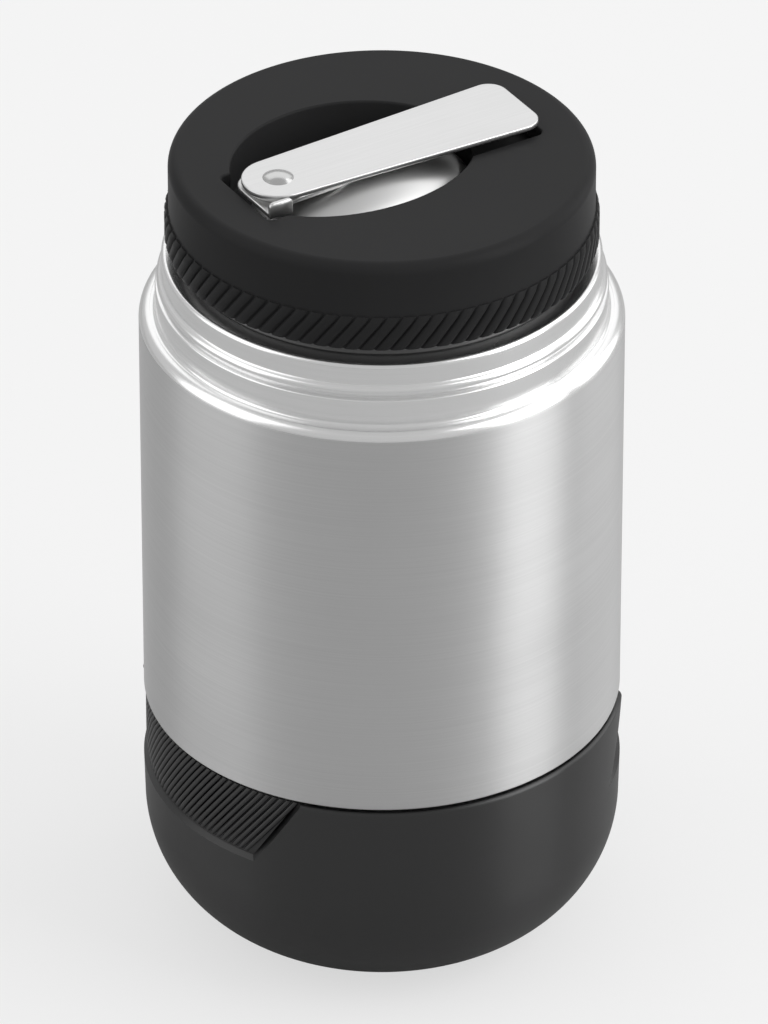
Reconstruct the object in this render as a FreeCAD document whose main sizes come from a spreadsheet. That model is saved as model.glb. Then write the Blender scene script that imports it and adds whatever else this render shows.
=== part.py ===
"""Insulated food jar with a screw lid that stores a folding spoon.

Millimetres, +Z up, origin in the middle of the foot. The front of the jar faces -Y.
Every driving size is a named cell of the sheet, and every piece is bound to those cells.
"""
import FreeCAD, Part
import math
import os

import Sketcher

doc = FreeCAD.newDocument("food_jar")
sheet = doc.addObject("Spreadsheet::Sheet", "Sizes")

SIZES = [
    # Steel body
    ("body_radius", 44.0),
    ("shell_wall", 0.8),
    ("body_top", 126.6),
    ("shoulder_round", 2.2),
    ("steel_edge", 48.3),
    ("boot_seat_radius", 42.2),
    # Polished neck below the lid
    ("band_radius", 41.0),
    ("band_height", 5.0),
    ("bead_radius", 0.9),
    ("collar_radius", 39.8),
    ("ledge_height", 140.5),
    ("neck_radius", 35.8),
    ("neck_wall", 0.6),
    ("mouth_height", 149.0),
    # Inner vessel
    ("vessel_radius", 37.0),
    ("vessel_wall", 0.6),
    ("vessel_floor", 8.6),
    ("vessel_round", 14.0),
    ("vessel_shoulder", 130.0),
    # Rubber boot
    ("boot_top", 47.3),
    ("boot_round", 24.5),
    ("boot_flare", 0.55),
    ("foot_radius", 19.5),
    ("foot_recess", 0.8),
    ("boot_floor", 2.0),
    ("glue_thickness", 0.3),
    ("boot_fit", 0.1),
    ("grip_height", 14.5),
    ("grip_slant", 14.0),
    ("grip_reach", 37.0),
    ("grip_turn", 34.0),
    ("grip_depth", 0.8),
    ("grip_pitch", 1.35),
    ("grip_rib_depth", 0.5),
    # Lid
    ("lid_radius", 38.4),
    ("lid_wall", 1.6),
    ("lid_bottom", 143.0),
    ("lid_top", 160.2),
    ("lid_round", 2.1),
    ("rib_height", 7.0),
    ("rib_depth", 0.75),
    ("rib_count", 88.0),
    ("rib_slant", 7.5),
    ("plug_radius", 33.9),
    ("plug_bottom", 139.6),
    ("gasket_thickness", 1.2),
    ("flange_thickness", 1.6),
    ("part_gap", 0.2),
    # Spoon well in the lid
    ("spoon_angle", 31.6),
    ("well_depth", 7.8),
    ("well_centre", -5.5),
    ("well_end_room", 1.5),
    ("well_near_room", 1.4),
    ("well_far_room", 6.6),
    ("slot_length", 57.6),
    ("slot_width", 17.4),
    ("slot_depth", 3.0),
    ("well_wall", 1.5),
    # Folding spoon
    ("sheet_thickness", 1.0),
    ("strap_rise", 0.4),
    ("bowl_length", 43.0),
    ("bowl_width", 28.8),
    ("bowl_centre", -4.5),
    ("bowl_apex", 0.3),
    ("pivot_offset", -21.7),
    ("handle_radius", 6.6),
    ("handle_end_width", 17.2),
    ("handle_reach", 51.0),
    ("handle_corner", 3.6),
    ("washer_thickness", 0.8),
    ("washer_radius", 5.8),
    ("rivet_radius", 1.3),
    ("rivet_head_radius", 2.8),
    ("rivet_head_height", 0.85),
    ("pivot_clearance", 0.05),
    # Sealed hole in the vacuum wall's foot
    ("seal_radius", 1.3),
    # The well follows the bowl that lies in it
    ("well_length", "=bowl_length + 2 * well_end_room"),
    ("well_near", "=bowl_width / 2 + well_near_room"),
    ("well_far", "=bowl_width / 2 + well_far_room"),
]

for row, (alias, value) in enumerate(SIZES, start=1):
    sheet.set("A%d" % row, alias)
    sheet.set("B%d" % row, str(value))
    sheet.setAlias("B%d" % row, alias)
doc.recompute()


def size(name):
    """Return the plain number in the sheet cell with this alias."""
    return float(sheet.get(name))


def bound(text):
    """Turn the sheet's aliases in a formula into references to its cells."""
    words = text.replace("(", " ( ").replace(")", " ) ").split()
    aliases = {name for name, _ in SIZES}
    joined = " ".join("Sizes." + word if word in aliases else word for word in words)
    return joined.replace("cos (", "cos(").replace("sin (", "sin(")


def number(text):
    """Return what a formula of aliases is worth now."""
    return float(sheet.evalExpression(bound(text)))


def outline_sketch(name, outline, body=None):
    """Draw an outline of (radius, height[, arc radius, bulge]) stops in the upright XZ plane.

    Each stop is joined to the next by a line, or by an arc where it gives an arc radius.
    Bulge is 1 where the arc's centre lies left of its travel and -1 where it lies right.
    """
    if body:
        plane = [f for f in body.Origin.OriginFeatures if f.Role == "XZ_Plane"][0]
        sketch = body.newObject("Sketcher::SketchObject", name)
        sketch.AttachmentSupport = [(plane, "")]
        sketch.MapMode = "FlatFace"
    else:
        sketch = doc.addObject("Sketcher::SketchObject", name)
        sketch.Placement.Rotation = FreeCAD.Rotation(FreeCAD.Vector(1, 0, 0), 90)
    stops = [FreeCAD.Vector(number(s[0]), number(s[1]), 0) for s in outline]
    count = len(outline)
    for i, stop in enumerate(outline):
        start = stops[i]
        end = stops[(i + 1) % count]
        if len(stop) == 2:
            sketch.addGeometry(Part.LineSegment(start, end), False)
            continue
        radius = number(stop[2])
        chord = end - start
        side = FreeCAD.Vector(-chord.y, chord.x, 0).normalize() * stop[3]
        inset = math.sqrt(max(radius ** 2 - chord.Length ** 2 / 4, 0.0))
        centre = start + chord * 0.5 + side * inset
        first, last = (start, end) if stop[3] > 0 else (end, start)
        angle = math.atan2(first.y - centre.y, first.x - centre.x)
        sweep = (math.atan2(last.y - centre.y, last.x - centre.x) - angle) % (2 * math.pi)
        circle = Part.Circle(centre, FreeCAD.Vector(0, 0, 1), radius)
        sketch.addGeometry(Part.ArcOfCircle(circle, angle, angle + sweep), False)
    ends = [(2, 1) if len(stop) > 2 and stop[3] < 0 else (1, 2) for stop in outline]
    for i in range(count):
        after = (i + 1) % count
        sketch.addConstraint(Sketcher.Constraint("Coincident", i, ends[i][1], after, ends[after][0]))
    for i, stop in enumerate(outline):
        for kind, value, text in (("DistanceX", stops[i].x, stop[0]), ("DistanceY", stops[i].y, stop[1])):
            index = sketch.addConstraint(Sketcher.Constraint(kind, -1, 1, i, ends[i][0], value))
            if text != "0":
                sketch.setExpression("Constraints[%d]" % index, bound(text))
        if len(stop) > 2:
            index = sketch.addConstraint(Sketcher.Constraint("Radius", i, number(stop[2])))
            sketch.setExpression("Constraints[%d]" % index, bound(stop[2]))
    return sketch


def turned_body(name, outline):
    """Turn an outline about the Z axis as a body of its own."""
    body = doc.addObject("PartDesign::Body", name)
    body.Label = name
    sketch = outline_sketch(name + "_outline", outline, body)
    turn = body.newObject("PartDesign::Revolution", name + "_turn")
    turn.Profile = sketch
    turn.ReferenceAxis = (sketch, ["V_Axis"])
    turn.Angle = 360.0
    body.Tip = turn
    return body


def spun_wall(name, outline):
    """Turn the outline of a long thin wall about the Z axis."""
    wall = doc.addObject("Part::Revolution", name)
    wall.Label = name
    wall.Source = outline_sketch(name + "_outline", outline)
    wall.Axis = FreeCAD.Vector(0, 0, 1)
    wall.Angle = 360.0
    wall.Solid = True
    return wall


# Steel body: outer wall, inner vessel and the welded base

spun_wall("outer_shell", [
    ("foot_radius - 2.5", "boot_floor + glue_thickness"),
    ("foot_radius + 0.5", "boot_floor + glue_thickness",
     "boot_seat_radius - foot_radius - 0.5", 1),
    ("boot_seat_radius", "boot_floor + glue_thickness + boot_seat_radius - foot_radius - 0.5"),
    ("boot_seat_radius", "steel_edge - 0.4"),
    ("body_radius - 0.4", "steel_edge - 0.4", "0.4", 1),
    ("body_radius", "steel_edge"),
    ("body_radius", "body_top", "shoulder_round", 1),
    ("body_radius - shoulder_round", "body_top + shoulder_round"),
    ("band_radius + 0.5", "body_top + shoulder_round", "0.5", -1),
    ("band_radius", "body_top + shoulder_round + 0.5"),
    ("band_radius", "body_top + shoulder_round + band_height"),
    ("collar_radius", "body_top + shoulder_round + band_height + 0.4"),
    ("collar_radius", "body_top + shoulder_round + band_height + 0.8", "bead_radius + 0.1", 1),
    ("collar_radius", "body_top + shoulder_round + band_height + 0.8 + 2 * bead_radius"),
    ("collar_radius", "ledge_height - 0.7", "0.7", 1),
    ("collar_radius - 0.7", "ledge_height"),
    ("neck_radius", "ledge_height"),
    ("neck_radius", "mouth_height - neck_wall"),
    ("neck_radius - neck_wall", "mouth_height - neck_wall"),
    ("neck_radius - neck_wall", "ledge_height - shell_wall"),
    ("collar_radius - shell_wall", "ledge_height - shell_wall"),
    ("collar_radius - shell_wall", "body_top + shoulder_round + band_height"),
    ("band_radius - shell_wall", "body_top + shoulder_round + band_height - 0.8"),
    ("band_radius - shell_wall", "body_top + shoulder_round - shell_wall"),
    ("body_radius - shoulder_round", "body_top + shoulder_round - shell_wall",
     "shoulder_round - shell_wall", -1),
    ("body_radius - shell_wall", "body_top"),
    ("body_radius - shell_wall", "steel_edge + 0.4"),
    ("boot_seat_radius - shell_wall", "steel_edge + 0.4"),
    ("boot_seat_radius - shell_wall",
     "boot_floor + glue_thickness + boot_seat_radius - foot_radius - 0.5",
     "boot_seat_radius - foot_radius - 0.5 - shell_wall", -1),
    ("foot_radius + 0.5", "boot_floor + glue_thickness + shell_wall"),
    ("foot_radius - 2.5", "boot_floor + glue_thickness + shell_wall"),
])

turned_body("inner_vessel", [
    ("0", "vessel_floor"),
    ("vessel_radius - vessel_round", "vessel_floor", "vessel_round", 1),
    ("vessel_radius", "vessel_floor + vessel_round"),
    ("vessel_radius", "vessel_shoulder"),
    ("neck_radius - neck_wall - 0.05", "vessel_shoulder + 4"),
    ("neck_radius - neck_wall - 0.05", "mouth_height - neck_wall"),
    ("neck_radius", "mouth_height - neck_wall"),
    ("neck_radius", "mouth_height"),
    ("neck_radius - neck_wall - 0.05 - vessel_wall", "mouth_height"),
    ("neck_radius - neck_wall - 0.05 - vessel_wall", "vessel_shoulder + 3.8"),
    ("vessel_radius - vessel_wall", "vessel_shoulder - 0.2"),
    ("vessel_radius - vessel_wall", "vessel_floor + vessel_round",
     "vessel_round - vessel_wall", -1),
    ("vessel_radius - vessel_round", "vessel_floor + vessel_wall"),
    ("0", "vessel_floor + vessel_wall"),
])

turned_body("foil_wrap", [
    ("vessel_radius + 0.1", "vessel_floor + vessel_round + 2"),
    ("vessel_radius + 0.2", "vessel_floor + vessel_round + 2"),
    ("vessel_radius + 0.2", "vessel_shoulder - 2"),
    ("vessel_radius + 0.1", "vessel_shoulder - 2"),
])

turned_body("getter", [
    ("0", "vessel_floor - 1.2"),
    ("4.6", "vessel_floor - 1.2"),
    ("5", "vessel_floor"),
    ("0", "vessel_floor"),
])

turned_body("bottom_cap", [
    ("seal_radius", "boot_floor + glue_thickness + 0.2"),
    ("8", "boot_floor + glue_thickness + 0.2"),
    ("9.5", "boot_floor + glue_thickness + shell_wall"),
    ("foot_radius - 1", "boot_floor + glue_thickness + shell_wall"),
    ("foot_radius - 1", "boot_floor + glue_thickness + 2 * shell_wall"),
    ("9.2", "boot_floor + glue_thickness + 2 * shell_wall"),
    ("7.7", "boot_floor + glue_thickness + 0.2 + shell_wall"),
    ("seal_radius", "boot_floor + glue_thickness + 0.2 + shell_wall"),
])

turned_body("vacuum_seal", [
    ("0", "boot_floor + glue_thickness + 0.2"),
    ("seal_radius", "boot_floor + glue_thickness + 0.2"),
    ("seal_radius", "boot_floor + glue_thickness + 0.2 + shell_wall"),
    ("2 * seal_radius", "boot_floor + glue_thickness + 0.2 + shell_wall"),
    ("seal_radius", "boot_floor + glue_thickness + 0.8 + shell_wall"),
    ("0", "boot_floor + glue_thickness + 0.8 + shell_wall"),
])

turned_body("boot_glue", [
    ("foot_radius - 2.5", "boot_floor"),
    ("foot_radius + 0.3", "boot_floor"),
    ("foot_radius + 0.3", "boot_floor + glue_thickness"),
    ("foot_radius - 2.5", "boot_floor + glue_thickness"),
])

# Rubber boot with its two sunken grips

boot_blank = spun_wall("boot_blank", [
    ("0", "foot_recess"),
    ("foot_radius - 5.5", "foot_recess"),
    ("foot_radius - 4.5", "0"),
    ("foot_radius", "0", "boot_round", 1),
    ("foot_radius + boot_round", "boot_round"),
    ("foot_radius + boot_round + boot_flare", "boot_top - 0.6", "0.6", 1),
    ("foot_radius + boot_round + boot_flare - 0.6", "boot_top"),
    ("boot_seat_radius + boot_fit", "boot_top"),
    ("boot_seat_radius + boot_fit",
     "boot_floor + glue_thickness + boot_seat_radius - foot_radius - 0.5",
     "boot_seat_radius - foot_radius - 0.5 + boot_fit", -1),
    ("foot_radius + 0.5", "boot_floor + glue_thickness - boot_fit"),
    ("foot_radius + 0.5", "boot_floor"),
    ("0", "boot_floor"),
])

# Lid: moulded liner, foam and gasket

turned_body("lid_liner", [
    ("0", "plug_bottom"),
    ("plug_radius - 0.8", "plug_bottom", "0.8", 1),
    ("plug_radius", "plug_bottom + 0.8"),
    ("plug_radius", "mouth_height + gasket_thickness"),
    ("lid_radius - lid_wall - 0.1", "mouth_height + gasket_thickness"),
    ("lid_radius - lid_wall - 0.1", "mouth_height + gasket_thickness + flange_thickness"),
    ("plug_radius - lid_wall", "mouth_height + gasket_thickness + flange_thickness"),
    ("plug_radius - lid_wall", "plug_bottom + lid_wall"),
    ("0", "plug_bottom + lid_wall"),
])

turned_body("lid_foam", [
    ("0", "plug_bottom + lid_wall"),
    ("plug_radius - lid_wall - part_gap", "plug_bottom + lid_wall"),
    ("plug_radius - lid_wall - part_gap", "lid_top - well_depth - well_wall - part_gap"),
    ("0", "lid_top - well_depth - well_wall - part_gap"),
])

turned_body("lid_gasket", [
    ("plug_radius + 0.3", "mouth_height"),
    ("neck_radius + 0.2", "mouth_height"),
    ("neck_radius + 0.2", "mouth_height + gasket_thickness"),
    ("plug_radius + 0.3", "mouth_height + gasket_thickness"),
])

lid_blank = turned_body("lid_blank", [
    ("lid_radius - lid_wall", "lid_bottom"),
    ("lid_radius + 0.1", "lid_bottom"),
    ("lid_radius + 0.1", "lid_bottom + rib_height"),
    ("lid_radius", "lid_bottom + rib_height + 0.4"),
    ("lid_radius", "lid_top - lid_round", "lid_round", 1),
    ("lid_radius - lid_round", "lid_top"),
    ("0", "lid_top"),
    ("0", "lid_top - 1.8"),
    ("lid_radius - lid_wall - 2", "lid_top - 1.8"),
    ("lid_radius - lid_wall", "lid_top - 3.8"),
    ("lid_radius - lid_wall", "mouth_height + gasket_thickness + flange_thickness + 1.4"),
    ("plug_radius + 1.5", "mouth_height + gasket_thickness + flange_thickness + 1.4"),
    ("plug_radius + 1.5", "mouth_height + gasket_thickness + flange_thickness"),
    ("lid_radius - lid_wall", "mouth_height + gasket_thickness + flange_thickness"),
])

# Spoon rivet and washer, turned about their own axis and then set at the pivot

turned_body("spoon_washer", [
    ("rivet_radius + pivot_clearance", "strap_rise"),
    ("washer_radius", "strap_rise"),
    ("washer_radius", "strap_rise + washer_thickness"),
    ("rivet_radius + pivot_clearance", "strap_rise + washer_thickness"),
])

turned_body("spoon_rivet", [
    ("0", "strap_rise - sheet_thickness - 0.6"),
    ("2.4", "strap_rise - sheet_thickness - 0.6"),
    ("2.4", "strap_rise - sheet_thickness"),
    ("rivet_radius", "strap_rise - sheet_thickness"),
    ("rivet_radius", "strap_rise + washer_thickness + sheet_thickness"),
    ("rivet_head_radius", "strap_rise + washer_thickness + sheet_thickness",
     "( rivet_head_radius ^ 2 + rivet_head_height ^ 2 ) / ( 2 * rivet_head_height )", 1),
    ("0", "strap_rise + washer_thickness + sheet_thickness + rivet_head_height"),
])
doc.recompute()

for name in ("spoon_washer", "spoon_rivet"):
    body = doc.getObject(name)
    body.setExpression("Placement.Base.x", bound("pivot_offset * cos ( spoon_angle * 1 deg )"))
    body.setExpression("Placement.Base.y", bound("pivot_offset * sin ( spoon_angle * 1 deg )"))
    body.setExpression("Placement.Base.z", bound("lid_top"))


def flat_face(points):
    """Return a flat face inside a closed run of (x, y) corners."""
    corners = [FreeCAD.Vector(x, y, 0) for x, y in points]
    return Part.Face(Part.makePolygon(corners + corners[:1]))


def raised(face, bottom, top):
    """Return a solid from a flat face between two heights."""
    moved = face.copy()
    moved.translate(FreeCAD.Vector(0, 0, bottom))
    return moved.extrude(FreeCAD.Vector(0, 0, top - bottom))


def in_spoon_frame(shape):
    """Turn and lift a shape from the spoon's own frame into the lid."""
    placed = shape.copy()
    placed.Placement = FreeCAD.Placement(
        FreeCAD.Vector(0, 0, size("lid_top")),
        FreeCAD.Rotation(FreeCAD.Vector(0, 0, 1), size("spoon_angle")))
    return placed


def well_face(margin):
    """Return the egg-shaped outline of the spoon well, grown by a margin."""
    half = size("well_length") / 2 + margin
    centre = FreeCAD.Vector(size("well_centre"), 0, 0)
    far = Part.Ellipse(centre, half, size("well_far") + margin)
    near = Part.Ellipse(centre, half, size("well_near") + margin)
    edges = [Part.ArcOfEllipse(far, 0, math.pi).toShape()]
    edges.append(Part.ArcOfEllipse(near, math.pi, 2 * math.pi).toShape())
    return Part.Face(Part.Wire(edges))


def slot_face(margin):
    """Return the long slot for the handle and strap, grown by a margin."""
    half_length = size("slot_length") / 2 + margin
    half_width = size("slot_width") / 2 + margin
    return flat_face([(-half_length, -half_width), (half_length, -half_width),
                      (half_length, half_width), (-half_length, half_width)])


def slanted_rib(inner, outer, angle, width, low, high, turn):
    """Return one rib on a round wall, its top turned on from its foot."""
    quads = []
    for height, shift in ((low, 0.0), (high, turn)):
        quad = []
        for radius, offset in ((inner, -0.5), (outer, -0.36), (outer, 0.36), (inner, 0.5)):
            place = angle + shift + offset * width
            quad.append(FreeCAD.Vector(radius * math.cos(place), radius * math.sin(place), height))
        quads.append(quad)
    faces = [Part.Face(Part.makePolygon(quad + quad[:1])) for quad in quads]
    for i in range(4):
        after = (i + 1) % 4
        foot = Part.makeLine(quads[0][i], quads[0][after])
        head = Part.makeLine(quads[1][i], quads[1][after])
        faces.append(Part.makeRuledSurface(foot, head))
    shell = Part.Shell(faces)
    shell.sewShape()
    rib = Part.Solid(shell)
    if rib.Volume < 0:
        rib.reverse()
    return rib


def lid_ribs():
    """Return the slanted grip ribs round the foot of the lid."""
    count = int(size("rib_count"))
    pitch = 2 * math.pi / count
    low = size("lid_bottom") + 0.2
    high = size("lid_bottom") + size("rib_height") - 0.2
    root = size("lid_radius")
    return [slanted_rib(root - 0.3, root + size("rib_depth"), i * pitch, pitch * 0.86, low, high,
                        math.radians(size("rib_slant"))) for i in range(count)]


def grip_ribs(side):
    """Return the slanted ribs inside one sunken grip of the boot."""
    root = size("foot_radius") + size("boot_round") - size("grip_depth")
    low = size("boot_top") - size("grip_height") + 0.3
    high = size("boot_top") - 0.3
    middle = math.radians(size("grip_turn")) + (math.pi if side < 0 else 0.0)
    reach = math.radians(size("grip_reach")) - 1.2 / root
    slant = math.radians(size("grip_slant"))
    count = int(2 * reach * root / size("grip_pitch"))
    pitch = 2 * reach / count
    return [slanted_rib(root - 0.3, root + size("grip_rib_depth"), middle - slant - reach + (i + 0.5) * pitch,
                        pitch * 0.8, low, high, slant) for i in range(count)]


def grip_slot(side):
    """Return the cutter for one sunken grip of the boot, a slanted band of facets."""
    outside = size("body_radius") + 2
    inside = size("foot_radius") + size("boot_round") - size("grip_depth")
    top = size("boot_top") + 1
    low = size("boot_top") - size("grip_height")
    reach = size("grip_reach")
    middle = size("grip_turn") + (180.0 if side < 0 else 0.0)
    steps = 8
    wires = []
    for height, end in ((low, middle + reach - size("grip_slant")), (top, middle + reach)):
        angles = [math.radians(end - step * 2 * reach / steps) for step in range(steps + 1)]
        ring = [(outside, angle) for angle in angles] + [(inside, angle) for angle in reversed(angles)]
        corners = [FreeCAD.Vector(r * math.cos(a), r * math.sin(a), height) for r, a in ring]
        wires.append(Part.makePolygon(corners + corners[:1]))
    return Part.makeLoft(wires, True, True)


def spoon_strap():
    """Return the flat strap with its upturned stop, in the spoon's frame."""
    top = size("strap_rise")
    bottom = top - size("sheet_thickness")
    pivot = size("pivot_offset")
    width = size("handle_radius") + 0.4
    left = pivot - 6.3
    strap = flat_face([(left, -width), (pivot - 1.6, -width), (pivot - 1.5, -width + 1.5),
                       (pivot + 10, -width + 2), (pivot + 24, -3.0), (pivot + 24, 3.0),
                       (pivot + 10, width - 2), (pivot - 1.5, width - 0.6),
                       (left + 3.6, width - 0.6), (left + 1.1, width - 1.8), (left, width - 4)])
    stop = Part.makeBox(4.7, 0.8, top - bottom + 2.0, FreeCAD.Vector(left, -width - 0.8, bottom))
    hole = Part.makeCylinder(size("rivet_radius") + size("pivot_clearance"), 4,
                             FreeCAD.Vector(pivot, 0, bottom - 1))
    return raised(strap, bottom, top).fuse(stop).cut(hole)


def spoon_bowl_shape():
    """Return the bowl, back up, with its strap, in the spoon's frame."""
    rim = bowl_rim_height()
    height = size("bowl_apex") - rim
    wall = size("sheet_thickness")
    shells = []
    for inset in (0.0, wall):
        ball = Part.makeSphere(1.0)
        stretch = FreeCAD.Matrix()
        stretch.scale(FreeCAD.Vector(size("bowl_length") / 2 - inset, size("bowl_width") / 2 - inset,
                                     height - inset))
        shells.append(ball.transformGeometry(stretch))
    dome = shells[0].cut(shells[1])
    half_box = Part.makeBox(80, 80, 20, FreeCAD.Vector(-40, -40, 0))
    dome = dome.common(half_box)
    dome.translate(FreeCAD.Vector(size("bowl_centre"), 0, rim))
    hollow = shells[1].copy()
    hollow.translate(FreeCAD.Vector(size("bowl_centre"), 0, rim))
    return dome.fuse(spoon_strap().cut(hollow))


def bowl_rim_height():
    """Return the height of the bowl's rim below the lid's top face."""
    return size("part_gap") - size("well_depth")


def handle_shape():
    """Return the flat folding handle in the spoon's frame."""
    bottom = size("strap_rise") + size("washer_thickness")
    top = bottom + size("sheet_thickness")
    pivot = size("pivot_offset")
    radius = size("handle_radius")
    end = pivot + size("handle_reach")
    half = size("handle_end_width") / 2
    blade = raised(flat_face([(pivot, -radius), (end, -half), (end, half), (pivot, radius)]), bottom, top)
    corners = [e for e in blade.Edges if len(e.Vertexes) == 2
               and abs(e.Vertexes[0].X - end) < 1e-6 and abs(e.Vertexes[1].X - end) < 1e-6
               and abs(e.Vertexes[0].Z - e.Vertexes[1].Z) > 0.5]
    blade = blade.makeFillet(size("handle_corner"), corners)
    pad = Part.makeCylinder(radius, top - bottom, FreeCAD.Vector(pivot, 0, bottom))
    hole = Part.makeCylinder(size("rivet_radius") + size("pivot_clearance"), 6,
                             FreeCAD.Vector(pivot, 0, bottom - 1))
    return blade.fuse(pad).removeSplitter().cut(hole)


def coded_part(name, shape):
    """Add a piece whose shape is built from the sheet's sizes by code."""
    piece = doc.addObject("Part::Feature", name)
    piece.Label = name
    piece.Shape = shape
    return piece


doc.recompute()

# Lid shell: the turned blank, the well walls, the grip ribs and then the well itself
well_floor = -size("well_depth")
walls = in_spoon_frame(raised(well_face(size("well_wall")), well_floor - size("well_wall"), -0.5))
walls = walls.fuse(in_spoon_frame(raised(slot_face(size("well_wall")),
                                         -size("slot_depth") - size("well_wall"), -0.5)))
lid = lid_blank.Shape.fuse([walls] + lid_ribs())
lid = lid.cut(in_spoon_frame(raised(well_face(0), well_floor, 1)))
lid = lid.cut(in_spoon_frame(raised(slot_face(0), -size("slot_depth"), 1)))
coded_part("lid_shell", lid)

boot = boot_blank.Shape.cut([grip_slot(-1), grip_slot(1)]).fuse(grip_ribs(-1) + grip_ribs(1))
coded_part("base_boot", boot)

coded_part("spoon_bowl", in_spoon_frame(spoon_bowl_shape()))
coded_part("spoon_handle", in_spoon_frame(handle_shape()))
doc.recompute()

NODES = ["outer_shell", "inner_vessel", "foil_wrap", "getter", "bottom_cap", "vacuum_seal", "boot_glue",
         "base_boot", "lid_shell", "lid_liner", "lid_foam", "lid_gasket", "spoon_bowl", "spoon_washer",
         "spoon_rivet", "spoon_handle"]

faults = [o.Name for o in doc.Objects if "Invalid" in o.State or "Error" in o.State]
if faults:
    raise RuntimeError("failed objects: %s" % faults)
os.makedirs("parts", exist_ok=True)
for node in NODES:
    shape = doc.getObject(node).Shape
    if shape.isNull() or not shape.isValid() or not shape.Solids:
        raise RuntimeError("bad shape: %s" % node)
    print("%-14s solids %d volume %.1f" % (node, len(shape.Solids), shape.Volume))
for node in NODES:
    doc.getObject(node).Shape.exportStep(os.path.join("parts", node + ".step"))
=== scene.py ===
"""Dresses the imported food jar: steel body, rubber boot, screw lid and folding spoon.

Lengths inside the classes are millimetres, as on a drawing, and MM turns them into metres.
The front of the jar faces -Y and the foot stands on the floor at z = 0.
"""
import logging
import math
from dataclasses import dataclass, field
from enum import Enum
from typing import Callable, Dict, List, Sequence, Tuple, Union

import bmesh
import bpy
from mathutils import Matrix, Vector

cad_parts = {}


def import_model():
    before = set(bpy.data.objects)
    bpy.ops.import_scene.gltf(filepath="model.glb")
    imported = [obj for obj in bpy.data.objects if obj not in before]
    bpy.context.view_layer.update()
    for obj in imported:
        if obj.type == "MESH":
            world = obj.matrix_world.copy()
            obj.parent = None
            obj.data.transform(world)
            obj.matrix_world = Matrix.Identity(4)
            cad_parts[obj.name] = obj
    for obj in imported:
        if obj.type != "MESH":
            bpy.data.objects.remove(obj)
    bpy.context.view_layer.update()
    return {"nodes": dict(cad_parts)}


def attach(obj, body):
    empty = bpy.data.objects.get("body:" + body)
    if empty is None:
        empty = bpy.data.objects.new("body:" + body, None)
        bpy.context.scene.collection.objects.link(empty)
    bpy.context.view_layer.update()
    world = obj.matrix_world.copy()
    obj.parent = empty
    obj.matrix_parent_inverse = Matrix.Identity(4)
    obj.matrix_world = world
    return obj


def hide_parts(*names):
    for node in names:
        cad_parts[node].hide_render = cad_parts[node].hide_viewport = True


MM = 0.001
CRISP = 32.0
CRISP_PLATE = 50.0
CRISP_RIB = 60.0
LEVEL = 0.99999
WALL_FACETS = 320
SENSOR_WIDTH = 36.0
SPOON_ANGLE = 31.6
WHITE = (1.0, 1.0, 1.0, 1.0)
LOG = logging.getLogger("food_jar")

Outline = List[Tuple[float, float]]
Point = Tuple[float, float, float]
Ring = List[Point]
Piece = bpy.types.Object
Material = bpy.types.Material
Inputs = Dict[Union[str, int], object]


class Body(Enum):
    """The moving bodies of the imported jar."""

    JAR = "jar"
    SEAL = "lid_seal"
    LID = "lid"
    SPOON = "spoon"
    HANDLE = "handle"


class Grain(Enum):
    """Which way the brush marks of a metal run."""

    ROUND_THE_AXIS = "round"
    ALONG_THE_SPOON = "along"
    NONE = "none"


def arc(cx: float, cz: float, radius: float, start: float, end: float, steps: int = 8) -> Outline:
    """Draw part of a circle.

    Args:
        cx: centre, across.
        cz: centre, up.
        radius: radius of the circle.
        start: first angle in degrees.
        end: last angle in degrees.
        steps: number of chords.

    Returns:
        The points of the arc, both ends included.
    """
    angles = [math.radians(start + (end - start) * i / steps) for i in range(steps + 1)]
    return [(cx + radius * math.cos(a), cz + radius * math.sin(a)) for a in angles]


def shade(bm: bmesh.types.BMesh, sharp: float) -> None:
    """Shade curved faces smoothly and level faces flat, with crisp edges kept.

    Args:
        bm: the mesh.
        sharp: edges that turn by more than this many degrees stay crisp.
    """
    bm.normal_update()
    for face in bm.faces:
        face.smooth = abs(face.normal.z) < LEVEL
    for edge in bm.edges:
        if len(edge.link_faces) == 2:
            edge.smooth = edge.calc_face_angle(0.0) < math.radians(sharp)


def finish_mesh(name: str, bm: bmesh.types.BMesh, sharp: float = CRISP) -> Piece:
    """Turn a bmesh into a smooth-shaded object with sharp edges kept.

    Args:
        name: name of the piece.
        bm: the mesh, in millimetres.
        sharp: edges that turn by more than this many degrees stay crisp.

    Returns:
        The new object, linked to the scene, its place held by its mesh.
    """
    bmesh.ops.remove_doubles(bm, verts=bm.verts, dist=1e-5)
    bmesh.ops.dissolve_degenerate(bm, edges=bm.edges, dist=1e-6)
    bmesh.ops.recalc_face_normals(bm, faces=bm.faces)
    bmesh.ops.scale(bm, vec=Vector((MM, MM, MM)), verts=bm.verts)
    shade(bm, sharp)
    mesh = bpy.data.meshes.new(name)
    bm.to_mesh(mesh)
    bm.free()
    piece = bpy.data.objects.new(name, mesh)
    bpy.context.scene.collection.objects.link(piece)
    return piece


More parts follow.
